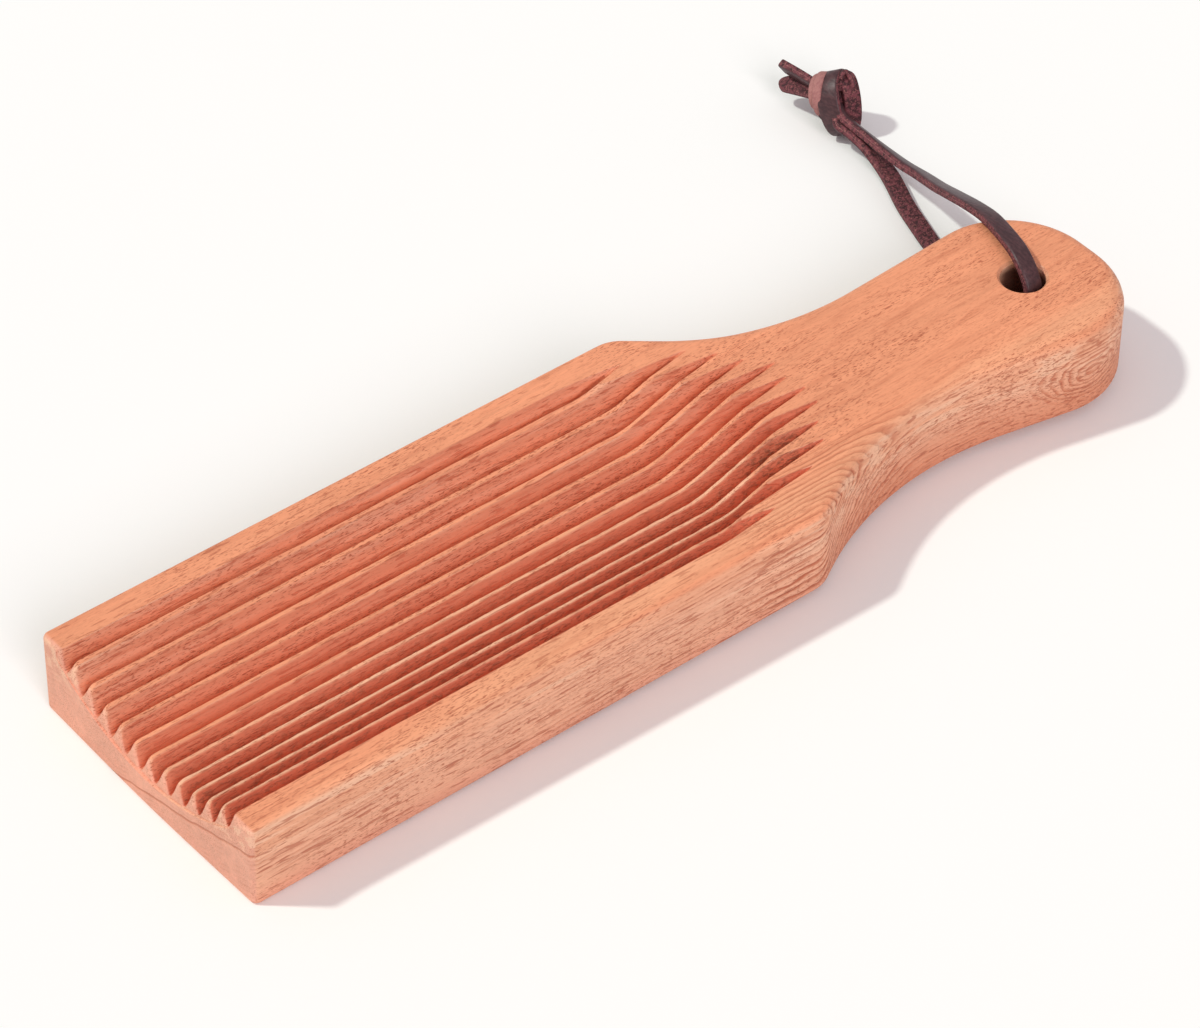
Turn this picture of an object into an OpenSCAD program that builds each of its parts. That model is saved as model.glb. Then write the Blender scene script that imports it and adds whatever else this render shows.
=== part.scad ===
// Gnocchi board: a one-piece beech paddle with a ridged scoop, and a leather
// hanging lace knotted into a loop through the hole in its grip.
// Units are millimetres. The board lies on a surface at z = 0 with its nose
// towards -X and its grip towards +X. The lace passes under the grip, so the
// board rests on the bottom edge of its nose and on the lace.

/* [Board] */
// Length from nose to butt
board_l = 245; // [200:1:300]
// Width of the blade
blade_w = 70; // [68:1:90]
// Thickness of the wood
board_t = 20; // [18:0.5:26]
// Radius of the two nose corners, seen from above
nose_r = 1.6; // [1.3:0.1:8]
// How far the front edge bows out at its middle
nose_bow = 0.7; // [0.3:0.1:2]

/* [Grip] */
// Length of the grip, from the shoulders to the butt
grip_l = 101.5; // [90:0.5:110]
// Radius of the shoulders, seen from above
shoulder_r = 4; // [2.5:0.5:4.5]
// Distance from the shoulders to where flank and grip lines would meet
waist_run = 30; // [28:0.5:36]
// Half width at which flank and grip lines would meet
waist_half = 13.5; // [12.5:0.5:14]
// Radius of the hollow flank from shoulder to grip
flank_r = 78; // [60:1:78]
// Width to which the grip flares at its butt
butt_w = 56; // [50:1:58]
// Radius of the butt's two round corners
butt_r = 20.5; // [12:0.5:22]
// Sideways offset of the grip from the middle of the blade
grip_shift = -4; // [-5:0.5:0]

/* [Edges] */
// Radius of the blade's top edges
blade_edge_r = 1.2; // [0.8:0.1:1.5]
// Radius of the grip's top edges
grip_edge_r = 4; // [2:0.1:5]
// Radius of the bottom edges
base_edge_r = 1; // [0.5:0.1:1.5]

/* [Scoop and ridges] */
// Number of grooves
grooves = 12; // [8:1:12]
// Distance from groove to groove
groove_pitch = 4.9; // [4:0.1:5]
// Height of a ridge above the grooves beside it
ridge_h = 4.8; // [3:0.1:5.2]
// Width of a ridge along its top
ridge_top_w = 0.7; // [0.2:0.1:1]
// Width of a groove along its bottom
groove_floor_w = 0.6; // [0.2:0.1:1]
// Wood left under the middle of the scoop
floor_t = 7.5; // [5:0.5:9]
// Radius of the scoop across the blade
scoop_r = 50; // [45:1:70]
// Distance over which the ridges round down to the nose
ridge_nose = 2.5; // [1:0.5:6]
// Distance from the foot of the ramp to the shoulders
ramp_before = 16.5; // [14:0.5:30]
// Slope of the ramp, in degrees
ramp_angle = 19.5; // [19:0.5:30]
// Radius of the bend at the foot of the ramp
ramp_bend_r = 20; // [8:1:30]

/* [Hole] */
// Distance from the hole to the butt
hole_back = 19.5; // [17:0.5:23]
// Diameter of the hole
hole_d = 10; // [9.8:0.1:12]
// Width of the softened rim of the hole
hole_ease = 0.6; // [0.2:0.1:1]

/* [Lace] */
// Width of the leather strip
lace_w = 4.2; // [3:0.1:4.4]
// Thickness of the leather strip
lace_t = 2; // [1.2:0.1:2.1]
// Half width of the knot at its middle
knot_half_w = 5.3; // [4:0.1:6]
// Half height of the knot at its middle
knot_half_h = 6.8; // [5:0.1:6.9]
// How deep the wraps of the knot are
knot_wrap = 0.4; // [0.2:0.1:0.5]

/* [Hidden] */

beech = [0.87, 0.58, 0.42];
leather = [0.25, 0.14, 0.12];

// Places along the board that follow from its length
shoulder_x = board_l - grip_l;
waist_x = shoulder_x + waist_run;
ramp_x = shoulder_x - ramp_before;
hole_x = board_l - hole_back;

// Slack left where wood lies on the lace and where strip meets strip
lie_gap = 0.1;
// The lace lifts the grip by its own thickness
tilt = asin((lace_t + lie_gap) / (hole_x - hole_d / 2 - base_edge_r));
// How far the bowed front reaches past the straight line between its corners
bow_r = 700;
nose_reach = nose_bow - bow_r * (1 / cos(atan(2 * nose_bow / blade_w)) - 1);
// The lying board's middle, measured along the surface
middle_x = (board_l - nose_reach - (base_edge_r + floor_t) * sin(tilt)) / 2;

// Outline corners of the board, anticlockwise from the nose: x, y, radius, arc steps
half_w = blade_w / 2;
BOW_STEPS = 4;
OUTLINE = [
    [0, -half_w, nose_r, 4],
    [shoulder_x, -half_w, shoulder_r, 4],
    [waist_x, grip_shift - waist_half, flank_r, 12],
    [board_l, grip_shift - butt_w / 2, butt_r, 12],
    [board_l, grip_shift + butt_w / 2, butt_r, 12],
    [waist_x, grip_shift + waist_half, flank_r, 12],
    [shoulder_x, half_w, shoulder_r, 4],
    [0, half_w, nose_r, 4],
    [-nose_bow, 0, bow_r, BOW_STEPS]
];

function unit(v) = v / norm(v);
function plan(p) = [p[0], p[1]];
function turn(a, b) = a[0] * b[1] - a[1] * b[0];
function smooth(t) = let (u = min(1, max(0, t))) u * u * (3 - 2 * u);

// One rounded corner as rows of point and outward direction: [x, y, out_x, out_y]
function corner(prev, here, next) =
    let (
        p = plan(here),
        to_prev = unit(plan(prev) - p),
        to_next = unit(plan(next) - p),
        bend = turn(-to_prev, to_next) > 0 ? 1 : -1,
        half = acos(to_prev * to_next) / 2,
        r = here[2],
        centre = p + unit(to_prev + to_next) * r / sin(half),
        first = p + to_prev * r / tan(half) - centre,
        from = atan2(first[1], first[0]),
        sweep = bend * (180 - 2 * half)
    )
    [for (i = [0:here[3]])
        let (a = from + sweep * i / here[3])
        [centre[0] + r * cos(a), centre[1] + r * sin(a), bend * cos(a), bend * sin(a)]];

function rounded(rows) =
    let (n = len(rows))
    [for (i = [0:n - 1]) each corner(rows[(i + n - 1) % n], rows[i], rows[(i + 1) % n])];

// The top edge's radius grows from the blade to the grip
function top_edge_r(x) =
    blade_edge_r + (grip_edge_r - blade_edge_r)
    * smooth((x - shoulder_x) / (waist_x + 10 - shoulder_x));

function inset_point(q, inset, z) = [q[0] - q[2] * inset, q[1] - q[3] * inset, z];

// Walls between rings of n points, as triangles
function wall_faces(n, rings) = [
    for (k = [0:rings - 2], i = [0:n - 1])
        let (a = k * n + i, b = k * n + (i + 1) % n)
        each [[a, a + n, b], [b, a + n, b + n]]
];

// The same walls with a flat face at each end
function ring_faces(n, rings) = concat(
    [[for (i = [0:n - 1]) i]],
    wall_faces(n, rings),
    [[for (i = [n - 1:-1:0]) (rings - 1) * n + i]]
);

// A board face as strips from one side to the other, and the bowed front
function board_face(side, n, first) = concat(
    [for (i = [0:side - 2])
        let (a = first + i, b = first + 2 * side - 1 - i)
        each [[a, a + 1, b - 1], [a, b - 1, b]]],
    [concat([for (i = [2 * side - 1:n - 1]) first + i], [first])]
);
function flipped(faces) = [for (f = faces) [for (i = [len(f) - 1:-1:0]) f[i]]];

// The board's blank: its outline with softened bottom and top edges
module blank(base_steps = 3, top_steps = 4) {
    q = rounded(OUTLINE);
    base = [for (k = [0:base_steps], p = q)
        let (a = 90 * k / base_steps)
        inset_point(p, base_edge_r * (1 - sin(a)), base_edge_r * (1 - cos(a)))];
    top = [for (k = [0:top_steps], p = q)
        let (a = 90 * k / top_steps, r = top_edge_r(p[0]))
        inset_point(p, r * (1 - cos(a)), board_t - r * (1 - sin(a)))];
    n = len(q);
    rings = base_steps + top_steps + 2;
    side = (n - BOW_STEPS - 1) / 2;
    polyhedron(concat(base, top), concat(
        board_face(side, n, 0),
        wall_faces(n, rings),
        flipped(board_face(side, n, (rings - 1) * n))));
}

// Height of the groove bottoms across the scoop
function scoop_z(y) = floor_t + scoop_r - sqrt(scoop_r * scoop_r - y * y);

// Rise of the ramp: flat, a bend, then a straight slope
ramp_bend_l = ramp_bend_r * sin(ramp_angle);
function ramp_rise(x) =
    let (u = x - ramp_x)
    u <= 0 ? 0
    : u < ramp_bend_l ? ramp_bend_r - sqrt(ramp_bend_r * ramp_bend_r - u * u)
    : ramp_bend_r * (1 - cos(ramp_angle)) + (u - ramp_bend_l) * tan(ramp_angle);

// The ridges' share of their height near the nose
function ridge_share(x) =
    let (u = 1 - min(1, max(0, x / ridge_nose)))
    sqrt(1 - u * u);

// Across the scoop: both edges of each groove's bottom and ridge's top, as [y, height]
scoop_half = grooves * groove_pitch / 2;
ACROSS = concat(
    [[-scoop_half, ridge_h]],
    [for (i = [0:grooves - 1])
        let (y = (i + 0.5) * groove_pitch - scoop_half)
        each concat(
            [[y - groove_floor_w / 2, 0], [y + groove_floor_w / 2, 0]],
            i < grooves - 1
                ? [[y + (groove_pitch - ridge_top_w) / 2, ridge_h],
                   [y + (groove_pitch + ridge_top_w) / 2, ridge_h]]
                : [])],
    [[scoop_half, ridge_h]]
);

// Along the scoop: through the nose, the ridges' round ends, the bend and up the ramp
ramp_top_x = ramp_x + ramp_bend_l + (board_t - floor_t + 3) / tan(ramp_angle);
ALONG = concat(
    [-5],
    [for (k = [0, 0.03, 0.12, 0.28, 0.55, 1]) k * ridge_nose],
    [for (k = [0:4]) ramp_x + ramp_bend_l * k / 4],
    [ramp_top_x]
);

// Two triangles for the patch with corners a, b, c and d, clockwise from outside
function patch(a, b, c, d) = [[a, b, c], [a, c, d]];

// What is cut away: the ridged surface below, open space above
module scoop() {
    n = len(ACROSS);
    m = len(ALONG);
    lid = scoop_z(scoop_half) + ridge_h + ramp_rise(ramp_top_x) + 5;
    low = [for (x = ALONG, a = ACROSS)
        [x, a[0], scoop_z(a[0]) + a[1] * ridge_share(x) + ramp_rise(x)]];
    high = [for (p = low) [p[0], p[1], lid]];
    up = n * m;
    last = (m - 1) * n;
    ridged = [for (j = [0:m - 2], i = [0:n - 2])
        let (a = j * n + i)
        each [[a, a + n, a + 1], [a + 1, a + n, a + n + 1]]];
    lid_faces = flipped([for (f = ridged) [for (v = f) v + up]]);
    sides = [for (j = [0:m - 2])
        let (a = j * n, b = a + n - 1)
        each concat(
            patch(a, a + up, a + n + up, a + n),
            patch(b, b + n, b + n + up, b + up))];
    ends = [for (i = [0:n - 2])
        let (a = i, b = last + i)
        each concat(
            patch(a, a + 1, a + 1 + up, a + up),
            patch(b, b + up, b + 1 + up, b + 1))];
    polyhedron(concat(low, high), concat(ridged, lid_faces, sides, ends));
}

// The hole for the lace, with a softened rim at each face
module lace_hole() {
    translate([hole_x, grip_shift, 0]) {
        translate([0, 0, -1]) cylinder(d = hole_d, h = board_t + 2, $fn = 64);
        translate([0, 0, -0.01])
            cylinder(d1 = hole_d + 2 * hole_ease, d2 = hole_d, h = hole_ease, $fn = 64);
        translate([0, 0, board_t - hole_ease + 0.01])
            cylinder(d1 = hole_d, d2 = hole_d + 2 * hole_ease, h = hole_ease, $fn = 64);
    }
}

// Lays the board down on its nose and on the lace
module lying() {
    translate([-middle_x, 0, 0])
        translate([base_edge_r, 0, 0])
            rotate([0, -tilt, 0])
                translate([-base_edge_r, 0, 0])
                    children();
}

module board() {
    color(beech) lying() difference() {
        blank();
        scoop();
        lace_hole();
    }
}

// The leather strip's section has eight sides: flat faces with bevelled edges
function strip_section(w, t) =
    let (b = t / 4)
    [[-w / 2, -t / 2 + b], [-w / 2 + b, -t / 2], [w / 2 - b, -t / 2], [w / 2, -t / 2 + b],
     [w / 2, t / 2 - b], [w / 2 - b, t / 2], [-w / 2 + b, t / 2], [-w / 2, t / 2 - b]];

function place(p) = [p[0], p[1], p[2]];

// Direction of a route at its i-th point
function along(route, i) =
    let (n = len(route))
    unit(place(route[min(n - 1, i + 1)]) - place(route[max(0, i - 1)]));

// One section of the strip at [x, y, z, roll]; its width lies flat at roll 0
function strip_ring(at, dir, section) =
    let (
        flat = unit([1, 0, 0] - dir * dir[0]),
        up = cross(dir, flat),
        wide = flat * cos(at[3]) + up * sin(at[3]),
        thick = up * cos(at[3]) - flat * sin(at[3])
    )
    [for (s = section) place(at) + wide * s[0] + thick * s[1]];

// The strip swept along a route that leaves and meets the knot along its axis
module strip(route, first, last) {
    n = len(route);
    section = strip_section(lace_w, lace_t);
    pts = [for (i = [0:n - 1])
        let (dir = i == 0 ? first : i == n - 1 ? last : along(route, i))
        each strip_ring(route[i], dir, section)];
    polyhedron(pts, ring_faces(len(section), n));
}

// Route of the free loop, as x, y, z and roll: out of the knot, under the grip, up
// through the hole near its wall, over the grip's far edge and back to the knot
knot_axis = [0, 1, 0];
LOOP = [
    [121.6, 75, 5.1, -45],
    [121.6, 71, 4.4, -45],
    [122, 67, 3.3, -36],
    [122.2, 62.5, 1.9, -18],
    [121.2, 57, 1.2, -4],
    [118, 48.5, 1.1, 0],
    [115.6, 41.5, 1.1, 0],
    [113.4, 34.5, 1.1, 0],
    [110, 22, 1.1, 0],
    [106.6, 10, 1.1, 0],
    [104.4, 3, 1.1, 0],
    [103.8, 0.4, 1.1, 0],
    [103.6, -2.1, 1.7, 0],
    [103.6, -4.3, 3.2, 0],
    [103.6, -6, 5.5, 0],
    [103.6, -6.9, 8.5, 0],
    [103.7, -7.1, 13, 0],
    [103.8, -7.1, 17.5, 0],
    [103.9, -6.3, 20.4, 0],
    [104.2, -4.5, 22.8, 0],
    [104.7, -2.2, 24.3, 0],
    [105.7, 1, 25, 4],
    [107.3, 6.5, 24.9, 8],
    [109.4, 13.5, 23.9, 14],
    [111.3, 21, 21.6, 20],
    [114.4, 30, 17.3, 25],
    [117.5, 38, 13.1, 28],
    [120.6, 46.5, 9.3, 31],
    [121.9, 54, 7.2, 34],
    [122.6, 60.5, 6.4, 38],
    [122.9, 66.5, 6.3, 44],
    [122.9, 71, 6.5, 45],
    [122.9, 75, 6.9, 45]
];
TAIL_UPPER = [[122.6, 87.5, 10.7, 55], [122.5, 91, 11, 55], [122.4, 95.5, 10.8, 50]];
TAIL_LOWER = [[123, 87.5, 7.3, -15], [122.7, 91, 6.4, -17], [122.2, 95.9, 4.8, -20]];

// The knot's middle line runs from where the loop enters to where the tails leave
KNOT_ENTRY = [122.3, 75, 6];
KNOT_EXIT = [122.8, 87.5, 8.8];
knot_bow = 2.9;

module lace_loop() {
    color(leather) strip(LOOP, -knot_axis, knot_axis);
}

// The overhand knot as a barrel with wraps wound round it, flat where strips enter
module lace_knot(rings = 18, sides = 24) {
    entry_r = norm([lace_w, 2 * lace_t + 2 * lie_gap]) / 2 + 0.4;
    exit_r = lace_w + 0.2;
    pts = [for (k = [0:rings], i = [0:sides - 1])
        let (
            u = k / rings,
            a = 360 * i / sides,
            bulge = sin(180 * pow(u, 0.75)),
            middle = KNOT_ENTRY * (1 - u) + KNOT_EXIT * u + [knot_bow * bulge, 0, 0],
            end_r = entry_r * (1 - u) + exit_r * u,
            swell = pow(max(0, bulge), 0.8),
            wrap = knot_wrap * swell * cos(720 * u - 2 * a),
            rx = end_r + (knot_half_w - knot_wrap - end_r) * swell + wrap,
            rz = end_r + (knot_half_h - knot_wrap - end_r) * swell + wrap
        )
        middle + [rx * cos(a), 0, rz * sin(a)]];
    color(leather) polyhedron(pts, flipped(ring_faces(sides, rings + 1)));
}

module lace_tail_upper() {
    color(leather) strip(TAIL_UPPER, knot_axis, unit([0, 1, -0.1]));
}

module lace_tail_lower() {
    color(leather) strip(TAIL_LOWER, knot_axis, unit([-0.1, 1, -0.3]));
}

board();
lace_loop();
lace_knot();
lace_tail_upper();
lace_tail_lower();
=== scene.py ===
"""Gnocchi board: the beech paddle and its knotted leather lace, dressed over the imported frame.

Lengths are in metres in the frame's own axes: the nose points to -X, the board lies on z = 0.
The outline, scoop and lace repeat the sizes of the part's source."""

import math

import bmesh
import bpy
from mathutils import Matrix, Vector, noise


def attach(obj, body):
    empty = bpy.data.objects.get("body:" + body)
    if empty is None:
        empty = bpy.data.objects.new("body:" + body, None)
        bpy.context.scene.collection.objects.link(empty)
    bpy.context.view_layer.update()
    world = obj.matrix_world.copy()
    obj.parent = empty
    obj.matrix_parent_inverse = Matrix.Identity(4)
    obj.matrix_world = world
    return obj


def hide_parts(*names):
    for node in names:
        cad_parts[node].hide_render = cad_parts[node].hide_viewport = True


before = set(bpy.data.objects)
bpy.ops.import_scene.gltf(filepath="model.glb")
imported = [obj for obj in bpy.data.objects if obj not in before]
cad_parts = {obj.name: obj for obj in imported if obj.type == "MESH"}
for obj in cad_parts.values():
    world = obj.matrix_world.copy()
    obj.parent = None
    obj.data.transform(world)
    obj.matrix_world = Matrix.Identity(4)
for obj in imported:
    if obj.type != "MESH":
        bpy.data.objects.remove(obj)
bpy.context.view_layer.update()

bl_info = {
    "name": "Gnocchi Board",
    "version": (1, 0, 0),
    "blender": (4, 5, 0),
    "location": "3D View > Sidebar > Gnocchi Board",
    "description": "Builds a beech gnocchi board with a ridged scoop and a leather lace",
    "category": "Mesh",
}

MM = 0.001
BODY = "root"
# How finely the board's mesh is divided
ROW_STEP = 0.9 * MM
SIDE_STEP = 4 * MM
NOSE_ROWS, BASE_STEPS, TOP_STEPS, HOLE_STEPS = 10, 4, 8, 64
# Small lengths of the board that follow from how it is made and lies
BOW_R = 700 * MM
FAR_WAIST_BACK = 3 * MM
LIE_GAP = 0.1 * MM
# How much farther each groove's tip stands, from the far side to the near side, in millimetres
TIP_SHIFTS = (-4, 2.5, 1.5, 0, 2, -1, 0.5, 1, -0.5, 1, -0.5, -7.5)


# Sizes and colours that a user would change


def length(label, words, value, low=0.0, high=1.0):
    return bpy.props.FloatProperty(
        name=label, description=words, default=value * MM, min=low, max=high,
        unit="LENGTH", precision=5,
    )


def colour(label, words, value):
    return bpy.props.FloatVectorProperty(
        name=label, description=words, default=value, min=0.0, max=1.0, size=3, subtype="COLOR",
    )


class BoardSizes(bpy.types.PropertyGroup):
    board_l: length("Length", "From the nose to the butt", 245)
    blade_w: length("Blade width", "Width of the ridged blade", 70)
    board_t: length("Thickness", "Thickness of the wood", 20)
    nose_r: length("Nose corner", "Radius of the two nose corners", 1.6)
    nose_bow: length("Nose bow", "How far the front edge bows out", 0.7)
    grip_l: length("Grip length", "From the shoulders to the butt", 101.5)
    shoulder_r: length("Shoulder", "Radius of the shoulders", 9)
    waist_run: length("Waist", "From the shoulders to the narrowest place", 30)
    waist_half: length("Waist half width", "Half the width at the narrowest place", 13.5)
    flank_r: length("Flank", "Radius of the hollow flank on the near side", 78)
    far_flank_r: length("Far flank", "Radius of the hollow flank on the far side", 68)
    far_waist_half: length("Far waist", "From the grip's middle to its far side at the waist", 19.9)
    butt_w: length("Butt width", "Width of the flared butt", 56)
    far_butt_half: length("Far butt", "From the grip's middle to the butt's far side", 23.6)
    butt_r: length("Butt corner", "Radius of the butt's round corners", 20.5)
    grip_shift: length("Grip shift", "Sideways offset of the grip", -4, -1.0)
    blade_edge_r: length("Blade edge", "Radius of the blade's top edges", 1.2)
    hand_edge_r: length("Hand edge", "Radius of the blade's top edge on the near side", 2.2)
    grip_edge_r: length("Grip edge", "Radius of the grip's top edges", 4)
    base_edge_r: length("Bottom edge", "Radius of the bottom edges", 1)
    groove_pitch: length("Groove pitch", "Distance from groove to groove", 4.9)
    ridge_h: length("Ridge height", "Height of a ridge above its grooves", 4.8)
    ridge_top_w: length("Ridge top", "Width of a ridge along its top", 0.7)
    groove_floor_w: length("Groove bottom", "Width of a groove along its bottom", 0.6)
    floor_t: length("Scoop floor", "Wood under the middle of the scoop", 7.5)
    scoop_r: length("Scoop radius", "Radius of the scoop across the blade", 50)
    ridge_nose: length("Ridge end", "Length of a ridge's rounded end", 2.5)
    ramp_before: length("Ramp start", "From the foot of the ramp to the shoulders", 16.5)
    ramp_bend_r: length("Ramp bend", "Radius of the bend at the foot of the ramp", 20)
    hole_back: length("Hole place", "From the hole to the butt", 19.5)
    hole_d: length("Hole", "Diameter of the hole", 10)
    hole_ease: length("Hole rim", "Width of the hole's softened rim", 0.6)
    grooves: bpy.props.IntProperty(
        name="Grooves", description="Number of grooves", default=12, min=2, max=24
    )
    ramp_angle: bpy.props.FloatProperty(
        name="Ramp slope", description="Slope of the ramp into the grip",
        default=math.radians(19.5), min=0.0, max=1.5, subtype="ANGLE",
    )


class LaceSizes(bpy.types.PropertyGroup):
    lace_w: length("Width", "Width of the leather strip", 4.2)
    lace_t: length("Thickness", "Thickness of the leather strip", 2)


class Finishes(bpy.types.PropertyGroup):
    beech: colour("Beech", "Colour of planed beech", (0.90, 0.365, 0.19))
    sapwood: colour("Sapwood", "Colour of the pale band", (0.92, 0.47, 0.26))
    tan_wood: colour("Tan wood", "Colour of the lower layers", (0.89, 0.42, 0.26))
    side_wood: colour("Side", "Colour of the sawn sides", (0.93, 0.53, 0.32))
    # This pale colour also paints highlights on the near crests and along the sides' rounded top
    # edges
    cream_and_highlight: colour("Cream", "Colour of the thin crests and of the pale streaks", (0.96, 0.62, 0.40))
    # The hole's wall is painted dark with shade
    hole_shade: colour("Hole", "Colour of the hole's dark wall", (0.085, 0.022, 0.014))
    low_grip: colour("Low grip", "Colour low on the grip's sides", (0.74, 0.25, 0.12))
    end_grain: colour("End grain", "Colour where the fibres are cut across", (0.86, 0.42, 0.29))
    # The late wood's colour also paints a dark line of shade along the groove bottoms
    late_wood_and_groove_shade: colour("Ring line", "Colour of the late wood", (0.56, 0.16, 0.075))
    pore: colour("Pore", "Colour of the short dark pores", (0.48, 0.12, 0.055))
    # The two groove colours are painted shade and red bounce light; the low one is lighter, painted
    # light against the shade deep in the grooves
    groove: colour("Groove", "Colour of the raw wood in the grooves", (0.70, 0.17, 0.085))
    groove_low: colour("Low groove", "Colour of the raw wood low in the grooves", (0.88, 0.25, 0.13))
    torn: colour("Torn grain", "Colour of the torn fibres", (0.42, 0.15, 0.075))
    grain_side: colour("Grain side", "Colour of the leather's smooth side", (0.050, 0.022, 0.025))
    grain_worn: colour("Rubbed grain", "Colour where the smooth side is rubbed", (0.10, 0.045, 0.047))
    flesh_side: colour("Flesh side", "Colour of the leather's rough side", (0.185, 0.050, 0.060))
    flesh_dark: colour("Dark flesh", "Colour between the rough side's fibres", (0.045, 0.013, 0.016))
    raw_edge: colour("Raw edge", "Colour of the paler wide cut faces in the knot", (0.42, 0.19, 0.17))
    cut_edge: colour("Cut edge", "Colour of the leather's cut edges", (0.42, 0.16, 0.14))
    floor: colour("Floor", "Colour of the studio floor", (0.86, 0.86, 0.85))


def board_sizes():
    return bpy.context.scene.gnocchi_board


def lace_sizes():
    return bpy.context.scene.gnocchi_lace


def finishes():
    return bpy.context.scene.gnocchi_finishes


# Objects and meshes


def add_object(name, data):
    made = bpy.data.objects.new(name, data)
    bpy.context.scene.collection.objects.link(made)
    return made


def settle_order(bm):
    """Gives the vertices and faces the same order in every run"""
    for i, v in enumerate(sorted(bm.verts, key=lambda v: tuple(v.co))):
        v.index = i
    bm.verts.sort()
    for i, face in enumerate(sorted(bm.faces, key=lambda f: tuple(f.calc_center_median()))):
        face.index = i
    bm.faces.sort()


def mesh_object(name, bm):
    """The finished bmesh as an object, with its faces pointing outwards"""
    bmesh.ops.remove_doubles(bm, verts=bm.verts, dist=1e-7)
    bmesh.ops.recalc_face_normals(bm, faces=bm.faces)
    settle_order(bm)
    mesh = bpy.data.meshes.new(name)
    bm.to_mesh(mesh)
    bm.free()
    return add_object(name, mesh)


def extruded(bm, face):
    """Extrudes one face and returns the new one; only the first face stays as the other end"""
    made = bmesh.ops.extrude_face_region(bm, geom=[face, *face.edges])["geom"]
    return [g for g in made if isinstance(g, bmesh.types.BMFace)][0]


def finish_piece(piece, material, replaced=()):
    piece.data.materials.clear()
    piece.data.materials.append(material)
    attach(piece, BODY)
    if replaced:
        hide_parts(*replaced)


# The board


def tilt_angle(b, lace_t):
    """The lace lifts the grip by its own thickness and a little slack"""
    hole_x = b.board_l - b.hole_back
    return math.asin((lace_t + LIE_GAP) / (hole_x - b.hole_d / 2 - b.base_edge_r))


def lying_matrix(b, lace_t):
    """Places a board drawn flat from its nose, as it lies on its nose and on the lace"""
    tilt = tilt_angle(b, lace_t)
    bow_turn = math.atan(2 * b.nose_bow / b.blade_w)
    reach = b.nose_bow - BOW_R * (1 / math.cos(bow_turn) - 1)
    middle = (b.board_l - reach - (b.base_edge_r + b.floor_t) * math.sin(tilt)) / 2
    heel = Vector((b.base_edge_r, 0, 0))
    return (
        Matrix.Translation(heel - Vector((middle, 0, 0)))
        @ Matrix.Rotation(-tilt, 4, "Y")
        @ Matrix.Translation(-heel)
    )


def outline_corners(b):
    """The outline's corners anticlockwise from the nose: point, radius, arc steps"""
    half = b.blade_w / 2
    shoulder_x = b.board_l - b.grip_l
    waist_x = shoulder_x + b.waist_run
    near, far = b.grip_shift - b.waist_half, b.grip_shift + b.far_waist_half
    near_butt, far_butt = b.grip_shift - b.butt_w / 2, b.grip_shift + b.far_butt_half
    return [
        (Vector((0, -half, 0)), b.nose_r, 8),
        (Vector((shoulder_x, -half, 0)), b.shoulder_r, 8),
        (Vector((waist_x, near, 0)), b.flank_r, 24),
        (Vector((b.board_l, near_butt, 0)), b.butt_r, 24),
        (Vector((b.board_l, far_butt, 0)), b.butt_r, 24),
        (Vector((waist_x - FAR_WAIST_BACK, far, 0)), b.far_flank_r, 24),
        (Vector((shoulder_x, half, 0)), b.shoulder_r, 8),
        (Vector((0, half, 0)), b.nose_r, 8),
        (Vector((-b.nose_bow, 0, 0)), BOW_R, 8),
    ]


def spin_corner(bm, before, corner, after, radius, steps):
    """Spins one vertex round a corner's centre; returns the arc's first and last vertex"""
    to_before, to_after = (before - corner).normalized(), (after - corner).normalized()
    turn = 1 if (-to_before).cross(to_after).z > 0 else -1
    half = math.acos(max(-1, min(1, to_before.dot(to_after)))) / 2
    centre = corner + (to_before + to_after).normalized() * radius / math.sin(half)
    first = bm.verts.new(corner + to_before * radius / math.tan(half))
    swept = bmesh.ops.spin(
        bm, geom=[first], cent=centre, axis=(0, 0, 1),
        angle=turn * (math.pi - 2 * half), steps=steps,
    )
    last = [g for g in swept["geom_last"] if isinstance(g, bmesh.types.BMVert)][0]
    return first, last


def smooth_step(t):
    t = min(1.0, max(0.0, t))
    return t * t * (3 - 2 * t)


def top_edge_radius(b, x, y):
    """Small round the nose, softer along the near side, full on the grip"""
    nose_run, near_run, before_shoulder = 8 * MM, 10 * MM, 6 * MM
    near = smooth_step(x / nose_run) * smooth_step(-y / near_run)
    blade = b.blade_edge_r + (b.hand_edge_r - b.blade_edge_r) * near
    shoulder_x = b.board_l - b.grip_l
    grown = smooth_step((x - shoulder_x + before_shoulder) / b.waist_run)
    return blade + (b.grip_edge_r - blade) * grown


def outline_face(b, bm):
    """The board's outline as one face: its corners spun, its long sides divided"""
    corners = outline_corners(b)
    arcs = []
    for i, (point, radius, steps) in enumerate(corners):
        before, after = corners[i - 1][0], corners[(i + 1) % len(corners)][0]
        arcs.append(spin_corner(bm, before, point, after, radius, steps))
    for i, (first, _) in enumerate(arcs):
        bm.edges.new((arcs[i - 1][1], first))
    long = [e for e in bm.edges if e.calc_length() > SIDE_STEP]
    while long:
        bmesh.ops.subdivide_edges(bm, edges=long, cuts=1)
        long = [e for e in bm.edges if e.calc_length() > SIDE_STEP]
    return bmesh.ops.contextual_create(bm, geom=bm.edges[:])["faces"][0]


def outward(points, i):
    """Direction away from the board at a point of its outline, which runs anticlockwise"""
    before = (points[i] - points[i - 1]).normalized()
    after = (points[(i + 1) % len(points)] - points[i]).normalized()
    along = (before + after).normalized()
    return Vector((along.y, -along.x, 0))


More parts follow.
